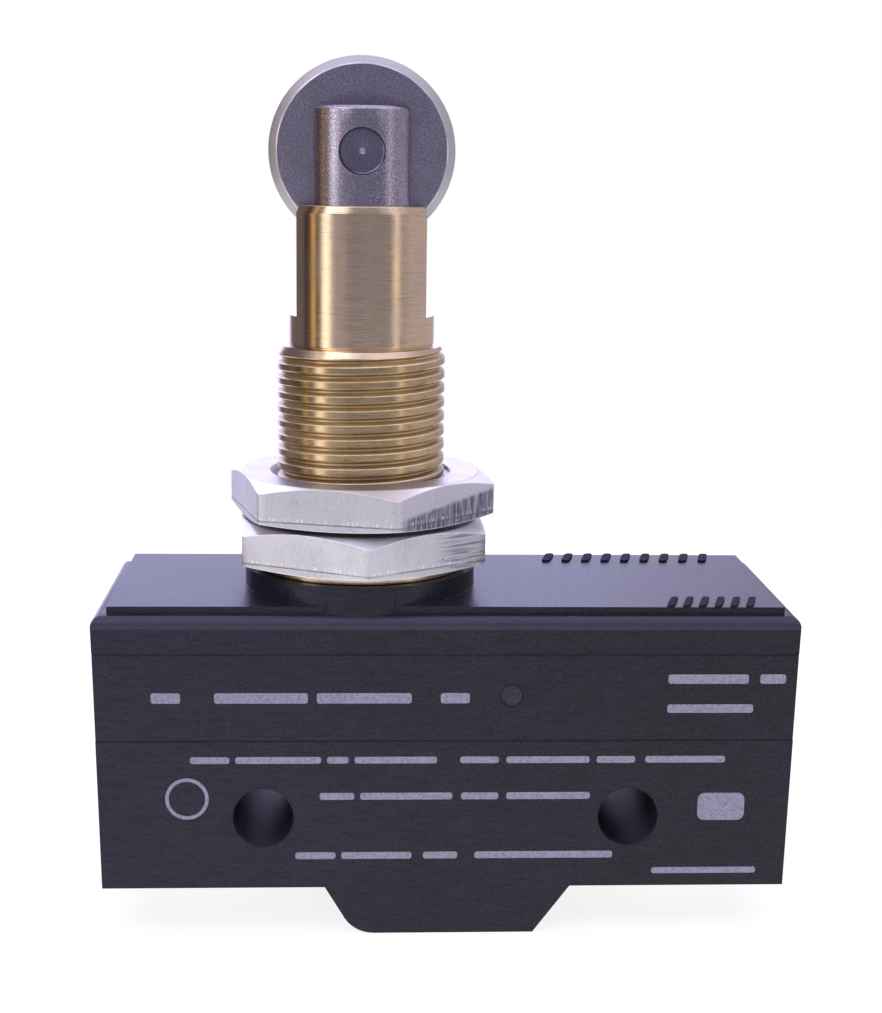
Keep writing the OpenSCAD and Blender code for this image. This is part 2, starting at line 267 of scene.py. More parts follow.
def made(name, shape):
    # an object from a shape in millimetres
    bmesh.ops.scale(shape, vec=(mm, mm, mm), verts=shape.verts)
    mesh = bpy.data.meshes.new(name)
    shape.to_mesh(mesh)
    shape.free()
    thing = bpy.data.objects.new(name, mesh)
    bpy.context.scene.collection.objects.link(thing)
    return thing


def worked(thing):
    # the object's modifiers become part of its mesh
    bpy.context.view_layer.update()
    seen = thing.evaluated_get(bpy.context.evaluated_depsgraph_get())
    mesh = bpy.data.meshes.new_from_object(seen)
    thing.modifiers.clear()
    old = thing.data
    thing.data = mesh
    bpy.data.meshes.remove(old)


def cut(thing, *tools):
    for tool in tools:
        cutter = made("cutter", tool)
        step = thing.modifiers.new("cut", "BOOLEAN")
        step.operation = "DIFFERENCE"
        step.solver = "EXACT"
        step.object = cutter
        worked(thing)
        bpy.data.objects.remove(cutter)


def soften(thing, width, angle, segments=2):
    edge = thing.modifiers.new("edge", "BEVEL")
    edge.width = width * mm
    edge.segments = segments
    edge.limit_method = "ANGLE"
    edge.angle_limit = math.radians(angle)
    edge.use_clamp_overlap = True
    edge.harden_normals = False
    even = thing.modifiers.new("even", "WEIGHTED_NORMAL")
    even.keep_sharp = True


def fit(thing, finish, body, stands=(), sharp=30):
    # gives a piece its finish and its body, and hides the nodes that it stands for
    thing.data.materials.clear()
    thing.data.materials.append(finish.owner)
    thing.data.shade_smooth()
    thing.data.set_sharp_from_angle(angle=math.radians(sharp))
    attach(thing, body)
    if stands:
        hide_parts(*stands)
    return thing


def dress(finish, *names):
    # a new material on frame nodes that keep their shape
    for name in names:
        slots = nodes[name].data.materials
        slots.clear()
        slots.append(finish.owner)


# finishes

def moulding(name="black moulding", rough=0.19, shine=0.25):
    look = {"dark": (0.0066, 0.0064, 0.0092), "pale": (0.0168, 0.0182, 0.033), "dust": (0.08, 0.083, 0.135),
            "stain": (0.004, 0.0036, 0.0042), "wearAndSheen": (0.062, 0.06, 0.092), "dirtAndShade": (0.001, 0.001, 0.001),
            "ledge": 0.95, "upperSeam": high("case_middle").z, "lowerSeam": low("case_middle").z,
            "holes": (12.7, 8.6, 2.25)}
    finish = Finish(name, look["dark"], IOR=1.5, Specular_IOR_Level=shine)
    x, y, z = finish.axes()
    cloud = finish.noise(finish.place(), 0.16, 3)
    speck = finish.noise(finish.place(), 8.5, 2, 0.7)
    fine = finish.noise(finish.place(), 3.2, 4, 0.7)
    flow = finish.noise(finish.place((0.5, 1, 3.5)), 1.3, 3, 0.65)
    pits = finish.noise(finish.place(), 1.7, 1, 0.4).ramp((0.17, 1), (0.21, 0))
    scratch = finish.noise(finish.place((0.2, 0.6, 7)), 1.0, 2, 0.6).ramp((0.72, 0), (0.77, 1))
    # the left side is painted paler than the right: painted light from the lamp side, mixed with a random
    # cloudy tone
    side = (x * -0.02 + 0.5).ramp((0.15, 0), (0.95, 1))
    colour = finish.blend(cloud.ramp((0.35, 0), (0.7, 1)) * 0.35 + side * 0.65, look["dark"], look["pale"])
    colour = finish.blend(speck.ramp((0.42, 0), (0.72, 0.34)) + scratch * 0.05, colour, look["dust"])
    colour = finish.blend(flow.ramp((0.36, 0.4), (0.56, 0)), colour, look["stain"])
    # a pale painted highlight lies along the rounded edge of the cover's ledge
    ledge = (z - coverTop + look["ledge"]).size().ramp((0.3, 1), (0.5, 0))
    outside = (y.size() * 0.1).ramp((0.8, 0), (0.83, 1))
    colour = finish.blend(ledge * outside * (0.45 + 0.55 * fine), colour, look["wearAndSheen"])
    # dirt lies in the two seams
    seams = (z - look["upperSeam"]).size().ramp((0.05, 0.42), (0.12, 0))
    seams = seams + (z - look["lowerSeam"]).size().ramp((0.05, 0.5), (0.12, 0))
    colour = finish.blend(seams, colour, look["dirtAndShade"])
    # the insides of the two mounting holes are left rough from the mould
    middle, height, radius = look["holes"]
    across, up = x.size() - middle, z - height
    squared = across * across + up * up
    inHole = squared.math("LESS_THAN", squared, radius ** 2)
    dull = rough + 0.16 * fine + 0.05 * cloud + 0.2 * inHole + 0.5 * seams
    finish.put(Base_Color=colour, Roughness=dull)
    grain = finish.bump(fine, 0.014)
    finish.put(Normal=finish.bump(scratch + pits * 2, 0.006, grain))
    return finish


def turnedBrass():
    look = {"clean": (0.74, 0.575, 0.37), "dull": (0.63, 0.52, 0.4), "dark": (0.36, 0.26, 0.14)}
    finish = Finish("turned brass", look["clean"], Metallic=1.0)
    lines = finish.noise(finish.place((0.35, 0.35, 16)), 1.1, 3, 0.7)
    blotch = finish.noise(finish.place((1, 1, 0.6)), 0.5, 3)
    speck = finish.noise(finish.place(), 7, 2, 0.6)
    colour = finish.blend(blotch.ramp((0.35, 0), (0.7, 0.75)), look["clean"], look["dull"])
    dirtAndShade = lines.ramp((0.28, 0.45), (0.5, 0)) + speck.ramp((0.62, 0), (0.75, 0.4))
    colour = finish.blend(dirtAndShade, colour, look["dark"])
    finish.put(Base_Color=colour, Roughness=0.09 + 0.1 * lines + 0.1 * blotch)
    finish.put(Normal=finish.bump(lines, 0.007))
    return finish


def threadBrass():
    # masks run over the distance from the axis, halved and less 2 to fit between 0 and 1
    look = {"gold": (0.65, 0.49, 0.28), "olive": (0.45, 0.34, 0.17), "bright": (0.86, 0.72, 0.56),
            "dark": (0.13, 0.08, 0.04)}
    finish = Finish("thread brass", look["gold"], Metallic=1.0)
    height = finish.reach((1, 1, 0), (axisX, 0, 0)) * 0.5 - 2
    crest = height.ramp((0.93, 0), (0.972, 1))
    lip = height.ramp((0.93, 0), (0.944, 1), (0.966, 1), (0.972, 0))
    drag = finish.noise(finish.place((0.6, 0.6, 7)), 1.3, 3, 0.7)
    grime = finish.noise(finish.place((1, 1, 0.5)), 0.55, 3)
    colour = finish.blend(grime.ramp((0.35, 0.2), (0.7, 0.9)), look["gold"], look["olive"])
    # painted shade darkens the flanks and roots between the crests; drag marks darken the crests themselves
    dirtAndShade = crest.ramp((0, 0.12), (0.9, 0)) + drag.ramp((0.3, 0.3), (0.5, 0)) * crest
    colour = finish.blend(dirtAndShade, colour, look["dark"])
    # a painted highlight line runs along the rolled edge of each crest
    colour = finish.blend(lip * drag.ramp((0.3, 0.55), (0.55, 1)), colour, look["bright"])
    finish.put(Base_Color=colour, Roughness=0.26 - 0.1 * crest + 0.12 * drag)
    finish.put(Normal=finish.bump(drag, 0.008))
    return finish


def platedSteel(name, upright, seed, tint=(0.62, 0.61, 0.65), rough=0.26, nut=None, band=False):
    # plated hexagons show upright tool marks on the flats, and painted highlight lines where these meet the
    # faces
    look = {"plate": tint, "wearAndSheen": tuple(0.62 * c for c in tint), "nick": tuple(0.3 * c for c in tint),
            "bright": (0.95, 0.94, 0.96), "tooled": (0.15, 0.155, 0.22)}
    finish = Finish(name, look["plate"], Metallic=1.0)
    where = finish.place((1, 1, 1), (axisX + seed, seed, seed))
    grain = finish.place((7, 7, 0.5), (seed, 0, 0)) if upright else finish.place((3, 3, 3))
    across = finish.noise(grain, 1.0, 3, 0.7)
    patch = finish.noise(where, 0.33, 3, 0.55)
    nick = finish.noise(finish.place((1.6, 1.6, 0.7), (0, seed, 0)), 2.1, 3, 0.65)
    fleck = finish.noise(where, 8, 2, 0.6)
    frost = finish.noise(where, 9, 2, 0.7)
    wearAndSheen = patch.ramp((0.48, 0), (0.68, 1)) * across.ramp((0.35, 0.2), (0.6, 1))
    colour = finish.blend(wearAndSheen * 0.35, look["plate"], look["wearAndSheen"])
    nicks = nick.ramp((0.68, 0), (0.74, 0.8)) + fleck.ramp((0.7, 0), (0.8, 0.5))
    colour = finish.blend(nicks, colour, look["nick"])
    colour = finish.blend(frost.ramp((0.45, 0), (0.75, 0.4)), colour, look["bright"])
    if nut:
        x, y, z = finish.axes((1, 1, 1), (axisX, 0, 0))
        out = finish.reach((1, 1, 0), (axisX, 0, 0)) - nutShape["face"]
        up = z - low(nut).z
        front = (y * 0.05 + 0.5).ramp((0.4, 1), (0.5, 0))
        flats = out.ramp((0.06, 0), (0.11, 1))
        if band:
            # a tool has dragged along the lower half of one flat
            along = (x * 0.1).ramp((0.25, 0), (0.34, 1)) * front
            tall = (up * 0.3 - x * 0.05).ramp((0.12, 1), (0.2, 0))
            drag = finish.noise(finish.place((4, 4, 0.45)), 1.0, 2, 0.7).ramp((0.36, 0.35), (0.6, 1))
            colour = finish.blend(along * tall * drag * flats, colour, look["tooled"])
        else:
            ends = (x * 0.1).ramp((0.5, 0), (0.66, 1)) * front
            level = finish.noise(finish.place((0.25, 0.25, 8)), 1.0, 2, 0.6).ramp((0.5, 0), (0.62, 0.7))
            colour = finish.blend(ends * level, colour, look["tooled"])
        # a painted shade line, in the nick colour, runs across the flats just above the bottom face
        line = (up - 0.5).size().ramp((0.03, 1), (0.07, 0)) * flats
        colour = finish.blend(line * patch.ramp((0.3, 0.2), (0.5, 0.8)), colour, look["nick"])
        # a broken painted highlight line crosses the flats low down
        glintLine = (up - 0.68).size().ramp((0.05, 1), (0.17, 0)) * across.ramp((0.55, 0), (0.6, 1)) * flats
        # painted highlight lines run where the flats meet the top and bottom faces
        rims = (z - high(nut).z + out * nutShape["topSlope"]).size().ramp((0.02, 1), (0.07, 0))
        rims = rims + (up - out * nutShape["bottomSlope"]).size().ramp((0.02, 1), (0.07, 0))
        colour = finish.blend((rims * 0.85 + glintLine * 0.8) * flats, colour, look["bright"])
    finish.put(Base_Color=colour, Roughness=rough + 0.16 * across + 0.12 * patch)
    finish.put(Normal=finish.bump(across, 0.012, finish.bump(nick, 0.01)))
    return finish


def groundSteel(name, centre, flat, tint, rough, rim=0.0, dot=0.0):
    # ground or turned about an axis: fine rings with the distance from it, and round its edge
    finish = Finish(name, tint, Metallic=1.0)
    distance = finish.reach(flat, centre)
    marks = finish.rings(distance, 9)
    speck = finish.noise(finish.place(), 11, 2, 0.6)
    cloud = finish.noise(finish.place(), 0.45, 3)
    look = {"glint": [min(1, 2.1 * c) for c in tint], "pit": [0.5 * c for c in tint],
            "dull": [0.66 * c for c in tint], "rimSheen": (0.6, 0.575, 0.57), "line": (0.95, 0.93, 0.95),
            "wearAndSheen": (0.8, 0.8, 0.86), "crescent": 1.47}
    colour = finish.blend(speck.ramp((0.54, 0), (0.72, 0.9)), tint, look["glint"])
    colour = finish.blend(speck.ramp((0.3, 0.8), (0.46, 0)), colour, look["pit"])
    clouded = cloud.ramp((0.4, 0), (0.7, 0.4)) + marks.ramp((0.3, 0.3), (0.5, 0))
    colour = finish.blend(clouded, colour, look["dull"])
    roughness = rough + 0.12 * speck + 0.08 * cloud
    if rim:
        # the edge beyond this radius is painted lighter as a sheen, and a painted highlight line runs round
        # inside it
        edge = (distance * 0.1).ramp((0.1 * rim - 0.003, 0), (0.1 * rim + 0.003, 1))
        colour = finish.blend(edge * (0.4 + 0.5 * marks + 0.3 * cloud), colour, look["rimSheen"])
        line = (distance - rim).size().ramp((0.02, 1), (0.06, 0)) * cloud.ramp((0.4, 0.1), (0.62, 1))
        colour = finish.blend(line, colour, look["line"])
        roughness = roughness + edge * 0.08
    if dot:
        # a lighter centre, and a painted highlight crescent on the lower right
        x, z = finish.axes(about=centre)[::2]
        lowerRight = (x * 0.2 - z * 0.2 + 0.5).ramp((0.6, 0), (0.75, 1))
        crescent = (distance - look["crescent"]).size().ramp((0.02, 1), (0.06, 0)) * lowerRight
        wearAndSheen = distance.ramp((0.5 * dot, 0.8), (dot, 0))
        colour = finish.blend(crescent + wearAndSheen, colour, look["wearAndSheen"])
    finish.put(Base_Color=colour, Roughness=roughness)
    finish.put(Normal=finish.bump(marks, 0.004, finish.bump(speck, 0.007)))
    return finish


def stamped(name, tint, rough=0.3, metallic=1.0):
    # rolled strip, or a plain moulded inner part when it isn't metal
    finish = Finish(name, tint, Metallic=metallic)
    drawn = finish.noise(finish.place((0.4, 9, 9)), 1.0, 3, 0.7)
    cloud = finish.noise(finish.place(), 0.5, 3)
    colour = finish.blend(cloud.ramp((0.35, 0), (0.7, 0.7)), tint, [0.72 * c for c in tint])
    finish.put(Base_Color=colour, Roughness=rough + 0.14 * drawn + 0.08 * cloud)
    finish.put(Normal=finish.bump(drawn, 0.005))
    return finish


def printInk():
    look = {"ink": (0.33, 0.32, 0.42), "thin": (0.17, 0.165, 0.22)}
    finish = Finish("print", look["ink"], Specular_IOR_Level=0.3)
    cover = finish.noise(finish.place(), 5, 3, 0.7)
    finish.put(Base_Color=finish.blend(cover.ramp((0.42, 0), (0.68, 0.8)), look["ink"], look["thin"]))
    finish.put(Roughness=0.55 + 0.2 * cover, Normal=finish.bump(cover, 0.01))
    return finish


plastic = moulding()
roughPlastic = moulding("rough moulding", 0.6, 0.1)
brass = turnedBrass()
brassThread = threadBrass()
lowerPlate = platedSteel("lower nut plate", True, 3.0, nut="lower_lock_nut")
upperPlate = platedSteel("upper nut plate", True, 8.0, nut="upper_lock_nut", band=True)
screwPlate = platedSteel("screw plate", False, 5.0, (0.7, 0.69, 0.68), 0.25)
rollerFace = groundSteel("roller steel", (axisX, 0, rollerZ), (1, 0, 1), (0.25, 0.235, 0.297), 0.36,
                         rim=5.83)
plungerSteel = groundSteel("plunger steel", (axisX, 0, 0), (0, 0, 1), (0.38, 0.35, 0.415), 0.14)
springWire = stamped("spring wire", (0.45, 0.45, 0.47), 0.25)
pinSteel = groundSteel("pin steel", (axisX, 0, rollerZ), (1, 0, 1), (0.2, 0.195, 0.26), 0.24, dot=0.24)
blackPin = groundSteel("blackened pin", (4.4, 0, 17.4), (1, 0, 1), (0.06, 0.057, 0.075), 0.42)
print("finishes made")


# mounting bushing: flange, M12 thread, slotted neck
def mountingBushing():
    size = {"pitch": 1.0, "crest": 5.95, "threadDepth": 0.36, "threadTop": 40.15, "fade": 0.55,
            "relief": 0.3, "flangeLow": 24.85, "flangeHigh": 25.4, "shank": 5.6, "neck": 5.15,
            "neckBottom": 40.6, "neckChamfer": (0.18, 0.5), "bore": 4.15, "counterbore": 4.65,
            "counterboreTop": 36, "slot": 5.1, "slotFloor": 42.75, "edge": 0.05, "columns": 144}
    bottom, top = low("mounting_bushing").z, neckTop
    flange = high("mounting_bushing").x - axisX
    flangeLow, flangeHigh, foot = size["flangeLow"], size["flangeHigh"], size["neckBottom"]
    crest, neck, bore = size["crest"], size["neck"], size["bore"]
    root = crest - size["threadDepth"]

    def limit(height):
        # the thread fades out below the neck, and begins a little above the flange
        if height > size["threadTop"] - 0.1:
            return min(crest, root + 0.02 + (foot - height) / size["fade"] * (crest - root))
        return crest if height > flangeHigh + size["relief"] else root

    below = [(size["shank"], bottom), (size["shank"], flangeLow), (flange - 0.06, flangeLow),
             (flange, flangeLow + 0.06), (flange, flangeHigh - 0.12), (flange - 0.12, flangeHigh),
             (root, flangeHigh)]
    helix = threadRings(flangeHigh, foot, crest, root, size["pitch"], limit, size["columns"])
    inset, drop = size["neckChamfer"]
    above = [(neck + 0.1, foot + 0.001), (neck - 0.05, foot + 0.06), (neck - 0.05, foot + 0.14),
             (neck, foot + 0.2), (neck, top - drop - 0.02), (neck - 0.01, top - drop + 0.02),
             (neck - inset + 0.02, top - 0.05), (neck - inset - 0.03, top), (bore + 0.05, top),
             (bore, top - 0.05), (bore, size["counterboreTop"]),
             (size["counterbore"], size["counterboreTop"]), (size["counterbore"], bottom)]
    shape = spun(below + helix + above, size["columns"], "Z", (axisX, 0, 0))
    piece = made("slotted_bushing", shape)
    half = size["slot"] / 2
    cut(piece, box((axisX - 8, -half, size["slotFloor"]), (axisX + 8, half, top + 1)))
    soften(piece, size["edge"], 40)
    return piece


bushing = mountingBushing()
fit(bushing, brass, "case", ["mounting_bushing"], 15)
bushing.data.materials.append(brassThread.owner)
threaded = {"bottom": 25.4, "top": 40.05, "inside": 5.2}
for face in bushing.data.polygons:
    outward = math.hypot(face.center.x / mm - axisX, face.center.y / mm)
    if threaded["bottom"] < face.center.z / mm < threaded["top"] and outward > threaded["inside"]:
        face.material_index = 1
print("bushing made")


# lock nuts: hexagon with both faces turned down, threaded bore
def lockNut(name, node, turn):
    size = {"bore": 6.02, "root": 6.47, "mouth": 0.45, "pitch": 1.0, "edge": 0.04, "cornerAngle": 1.2,
            "columns": 240}
    bottom, top = low(node).z, high(node).z
    flat, face = nutShape["flat"], nutShape["face"]
    eased = math.radians(size["cornerAngle"])

    def outline(index):
        angle = (2 * math.pi * index / size["columns"]) % (math.pi / 3) - math.pi / 6
        shift = max(0.0, abs(angle) - (math.pi / 6 - eased))
        return flat / math.cos(abs(angle) - shift * 0.5) if shift else flat / math.cos(angle)

    hexagon = [outline(index) for index in range(size["columns"] + 1)]

    def mouth(height):
        return size["bore"] + max(0.0, size["mouth"] - (height - bottom), size["mouth"] - (top - height))

    inner = threadRings(bottom, top, size["bore"], size["root"], size["pitch"], mouth, size["columns"],
                        inside=True)
    middle = (bottom + top) / 2
    rings = [(face, bottom), [(r, bottom + (r - face) * nutShape["bottomSlope"]) for r in hexagon],
             [(r, middle) for r in hexagon],
             [(r, top - (r - face) * nutShape["topSlope"]) for r in hexagon], (face, top)]
    shape = spun(rings + inner[::-1], size["columns"], "Z", (axisX, 0, 0), math.radians(turn))
    piece = made(name, shape)
    soften(piece, size["edge"], 35)
    return piece


for place, plate, turn in (("lower", lowerPlate, 33.6), ("upper", upperPlate, 44.7)):
    fit(lockNut(place + "_nut_plated", place + "_lock_nut", turn), plate, place + "_nut",
        [place + "_lock_nut"], 18)
print("nuts made")


# roller, its fork and its pin
def rollerFork():
    size = {"radius": 4.1, "flange": 4.6, "flangeTop": 35.9, "chamfer": 0.22, "slot": 5.0,
            "slotFloor": 47.15, "bore": 2.8, "boreTop": 45.9, "pin": 1.59, "edge": 0.05}
    bottom, top = low("roller_plunger").z, high("roller_plunger").z
    radius, c, bore = size["radius"], size["chamfer"], size["bore"]
    flange, flangeTop = size["flange"], size["flangeTop"]
    profile = [(bore, bottom), (flange - 0.2, bottom), (flange, bottom + 0.2), (flange, flangeTop - 0.1),
               (flange - 0.1, flangeTop), (radius, flangeTop), (radius, top - c - 0.06),
               (radius - 0.04, top - c + 0.02), (radius - c + 0.02, top - 0.04), (radius - c - 0.06, top),
               (0, top), (0, size["boreTop"]), (bore, size["boreTop"])]
    piece = made("roller_fork", spun(profile, 128, "Z", (axisX, 0, 0)))
    half = size["slot"] / 2
    hole = spun([(0, -7), (size["pin"], -7), (size["pin"], 7), (0, 7)], 64, "Y", (axisX, 0, rollerZ))
    cut(piece, box((axisX - 6, -half, size["slotFloor"]), (axisX + 6, half, top + 1)), hole)
    soften(piece, size["edge"], 40)
    return piece


def rollerDisc():
    size = {"chamfer": 0.58, "bore": 1.65, "edge": 0.09}
    half = high("roller").y
    radius = high("roller").x - axisX
    c = size["chamfer"]
    profile = softened([(size["bore"], -half), (radius - c, -half), (radius, c - half), (radius, half - c),
                        (radius - c, half), (size["bore"], half)], size["edge"])
    return made("roller_disc", spun(profile, 192, "Y", (axisX, 0, rollerZ)))


def rollerPin():
    size = {"radius": 1.585, "chamfer": 0.13, "dimple": 0.17}
    half = high("roller_pin").y
    r, c, d = size["radius"], size["chamfer"], size["dimple"]
    end = [(0, half - d), (0.05, half - d + 0.01), (d + 0.03, half - 0.02), (d + 0.1, half),
           (r - c - 0.03, half), (r - 0.03, half - c + 0.03), (r, half - c - 0.05)]
    profile = [(radius, -height) for radius, height in end] + end[::-1]
    return made("roller_axle", spun(profile, 72, "Y", (axisX, 0, rollerZ)))


fit(rollerFork(), plungerSteel, "plunger", ["roller_plunger"])
fit(rollerDisc(), rollerFace, "roller", ["roller"], 24)
fit(rollerPin(), pinSteel, "plunger", ["roller_pin"], 24)
print("roller made")


# terminal screws and the spring in the plunger
def terminalScrew(name, node, headRadius, headHeight, sideways):
    size = {"pitch": 0.7, "depth": 0.34, "slot": 0.9, "slotReach": 0.75, "edge": 0.05, "columns": 64}
    across = high(node).x - low(node).x
    length = (across if sideways else high(node).z - low(node).z) - headHeight
    crest = 1.5 if sideways else 1.7
    root = crest - size["depth"]

    def limit(height):
        return min(crest, root + 0.02 + max(0.0, min(height + length, -height)) * 0.9)

    helix = threadRings(-length, 0.0, crest, root, size["pitch"], limit, size["columns"])
    r, h = headRadius - 0.01, headHeight
    head = [(r - 0.05, 0.001), (r, 0.05), (r, h - 0.52), (r - 0.14, h - 0.3), (r - 0.36, h - 0.12),
            (r - 0.62, h - 0.02), (r - 1.1, h), (0, h)]
    piece = made(name, spun([(0, -length)] + helix + head, size["columns"]))
    half, arm = size["slot"] / 2, headRadius * size["slotReach"]
    cut(piece, box((-arm, -half, h - size["slot"]), (arm, half, h + 1)),
        box((-half, -arm, h - size["slot"]), (half, arm, h + 1)))
    if sideways:
        turn = Matrix.Rotation(math.radians(90), 4, "Y")
        foot = (low(node).x + length, 0, (low(node).z + high(node).z) / 2)
    else:
        turn = Matrix.Rotation(math.radians(180), 4, "X")
        foot = ((low(node).x + high(node).x) / 2, 0, low(node).z + h)
    piece.data.transform(Matrix.Translation(Vector(foot) * mm) @ turn)
    soften(piece, size["edge"], 40)
    return piece


def coil():
    # round wire wound as a helix, its end turns closed
    size = {"wire": 0.34, "radius": 2.19, "turns": 9, "perTurn": 36, "sides": 12, "endPitch": 0.72}
    inset = size["wire"] + 0.01
    bottom, top = low("overtravel_spring").z + inset, high("overtravel_spring").z - inset
    pitch = (top - bottom - 2 * size["endPitch"]) / (size["turns"] - 2)
    steps = size["turns"] * size["perTurn"]
    sides = [2 * math.pi * side / size["sides"] for side in range(size["sides"])]
    upward = Vector((0, 0, 1))
    shape = bmesh.new()
    rows = []
    for step in range(steps + 1):
        turn = step / size["perTurn"]
        height = bottom + size["endPitch"] * (min(turn, 1) + max(0, turn - size["turns"] + 1))
        height += pitch * min(max(turn - 1, 0), size["turns"] - 2)
        angle = 2 * math.pi * turn
        out = Vector((math.cos(angle), math.sin(angle), 0))
        centre = Vector((axisX, 0, height)) + out * size["radius"]
        ring = [(out * math.cos(a) + upward * math.sin(a)) * size["wire"] for a in sides]
        rows.append([shape.verts.new(centre + spot) for spot in ring])
    for near, far in zip(rows, rows[1:]):
        for side in range(size["sides"]):
            beside = (side + 1) % size["sides"]
            shape.faces.new((near[side], near[beside], far[beside], far[side]))
    shape.faces.new(rows[0][::-1])
    shape.faces.new(rows[-1])
    bmesh.ops.recalc_face_normals(shape, faces=shape.faces)
    return made("spring_coil", shape)


for side in ("common", "normally_open"):
    fit(terminalScrew(side + "_screw_turned", side + "_screw", 3.3, 2.2, False), screwPlate,
        side + "_screw", [side + "_screw"], 35)
fit(terminalScrew("normally_closed_screw_turned", "normally_closed_screw", 2.9, 1.9, True), screwPlate,
    "normally_closed_screw", ["normally_closed_screw"], 35)
spring = fit(coil(), springWire, "plunger", ["overtravel_spring"], 50)
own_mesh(spring)
print("screws and spring made")


# printed marks: plain bars, a ring and a block
def prism(outline, back, front):
    # a flat outline of (x, z) pressed out along Y
    shape = bmesh.new()
    near = [shape.verts.new((x, front, z)) for x, z in outline]
    far = [shape.verts.new((x, back, z)) for x, z in outline]
    shape.faces.new(near)
    shape.faces.new(far[::-1])
    for index in range(len(outline)):
        beside = (index + 1) % len(outline)
        shape.faces.new((near[index], near[beside], far[beside], far[index]))
    bmesh.ops.recalc_face_normals(shape, faces=shape.faces)
    return shape


def roundedBar(x0, x1, z0, z1, radius, steps=5):
    outline = []
    radius = min(radius, (x1 - x0) / 2.001, (z1 - z0) / 2.001)
    for cx, cz, start in ((x1 - radius, z1 - radius, 0), (x0 + radius, z1 - radius, 90),
                          (x0 + radius, z0 + radius, 180), (x1 - radius, z0 + radius, 270)):
        for step in range(steps + 1):
            angle = math.radians(start + 90 * step / steps)
            outline.append((cx + radius * math.cos(angle), cz + radius * math.sin(angle)))
    return outline


def joined(shapes):
    whole = bmesh.new()
    for shape in shapes:
        mesh = bpy.data.meshes.new("part")
        shape.to_mesh(mesh)
        shape.free()
        whole.from_mesh(mesh)
        bpy.data.meshes.remove(mesh)
    return whole


def printedMarks():
    size = {"thickness": 0.015, "share": 0.36, "radius": 0.18, "blockRadius": 0.5}
    lines = [
        {"z": (16.2, 18.25), "words": [(-20.3, -18.3), (-16.0, -9.6), (-9.0, -2.5), (-0.5, 1.5)]},
        {"z": (17.64, 19.5), "words": [(15.2, 20.8), (21.6, 23.4)]},
        {"z": (15.6, 17.3), "words": [(15.2, 21.2)]},
        {"z": (12.1, 13.45), "words": [(-17.7, -15.0), (-14.6, -8.7), (-8.3, -6.8), (-6.4, -0.7),
                                       (0.9, 3.6), (4.1, 9.9), (10.4, 13.1), (13.8, 19.4)]},
        {"z": (9.45, 10.85), "words": [(-8.8, -6.4), (-6.0, 0.4), (1.0, 3.6), (4.15, 10.0)]},
        {"z": (5.1, 6.5), "words": [(-10.5, -7.7), (-7.3, -2.4), (-1.6, 0.8), (2.0, 11.7)]},
        {"z": (3.95, 5.2), "words": [(14.5, 21.9)]}]
    front, back = -halfDepth - size["thickness"], -halfDepth + size["thickness"]
    shapes = []
    for line in lines:
        middle = sum(line["z"]) / 2
        half = (line["z"][1] - line["z"][0]) * size["share"] / 2
        for x0, x1 in line["words"]:
            outline = roundedBar(x0, x1, middle - half, middle + half, size["radius"])
            shapes.append(prism(outline, back, front))
    ring = {"x": -17.94, "z": 10.0, "radius": 1.5, "line": 0.25}
    outer, inner = ring["radius"], ring["radius"] - ring["line"]
    profile = [(inner, back), (outer, back), (outer, front), (inner, front)]
    shapes.append(spun(profile, 48, "Y", (ring["x"], 0, ring["z"])))
    block = {"x": (17.6, 20.9), "z": (8.3, 10.3)}
    shapes.append(prism(roundedBar(*block["x"], *block["z"], size["blockRadius"]), back, front))
    return made("printed_marks", joined(shapes))


def mouldedRibs():
    # two rows of low plain ribs on the cover's top
    size = {"rise": 0.14, "sunk": 0.1, "edge": 0.05,
            "rows": [{"x": (8.1, 20.1), "count": 9, "width": 0.62, "y": (5.95, 8.35), "slant": 0.25},
                     {"x": (15.3, 20.8), "count": 6, "width": 0.5, "y": (-7.85, -5.3), "slant": 0.3}]}
    shapes = []
    for row in size["rows"]:
        first, last = row["x"]
        for index in range(row["count"]):
            middle = first + (last - first) * index / (row["count"] - 1)
            half = row["width"] / 2
            outline = roundedBar(middle - half, middle + half, *row["y"], half)
            shape = prism(outline, coverTop - size["sunk"], coverTop + size["rise"])
            for vert in shape.verts:
                lean = (vert.co.z - row["y"][0]) * row["slant"]
                vert.co = Vector((vert.co.x + lean, vert.co.z, vert.co.y))
            bmesh.ops.recalc_face_normals(shape, faces=shape.faces)
            shapes.append(shape)
    piece = made("cover_ribs", joined(shapes))
    soften(piece, size["edge"], 40)
    return piece


fit(printedMarks(), printInk(), "case")
fit(mouldedRibs(), roughPlastic, "case")
print("marks made")


# the other nodes keep their shape, with softened edges
def softNodes(finish, width, *names):
    for name in names:
        weld = nodes[name].modifiers.new("weld", "WELD")
        weld.merge_threshold = 1e-6
        flat = nodes[name].modifiers.new("flat", "DECIMATE")
        flat.decimate_type = "DISSOLVE"
        flat.angle_limit = math.radians(0.2)
        nodes[name].data.shade_smooth()
        soften(nodes[name], width, 35, 3)
    dress(finish, *names)


softNodes(plastic, 0.1, "case_base", "case_middle", "case_cover")
softNodes(blackPin, 0.06, "cross_pin")
softNodes(stamped("strip brass", (0.62, 0.45, 0.2)), 0.08, "common_terminal", "normally_open_terminal",
          "normally_closed_terminal", "blade_support")
softNodes(stamped("blade copper", (0.6, 0.3, 0.16), 0.28), 0.02, "contact_blade")
softNodes(stamped("contact silver", (0.75, 0.74, 0.7), 0.25), 0.08, "moving_contact",
          "normally_open_contact", "normally_closed_contact")
softNodes(springWire, 0.06, "push_rod", "bushing_retainer")
softNodes(stamped("guide plastic", (0.62, 0.56, 0.44), 0.4, 0.0), 0.1, "rod_guide")
softNodes(stamped("button plastic", (0.16, 0.035, 0.02), 0.35, 0.0), 0.08, "pin_plunger")
softNodes(screwPlate, 0.08, "common_washer", "normally_open_washer", "normally_closed_washer")
dress(stamped("snap copper", (0.58, 0.29, 0.15), 0.28), "snap_spring")
print("other nodes dressed")


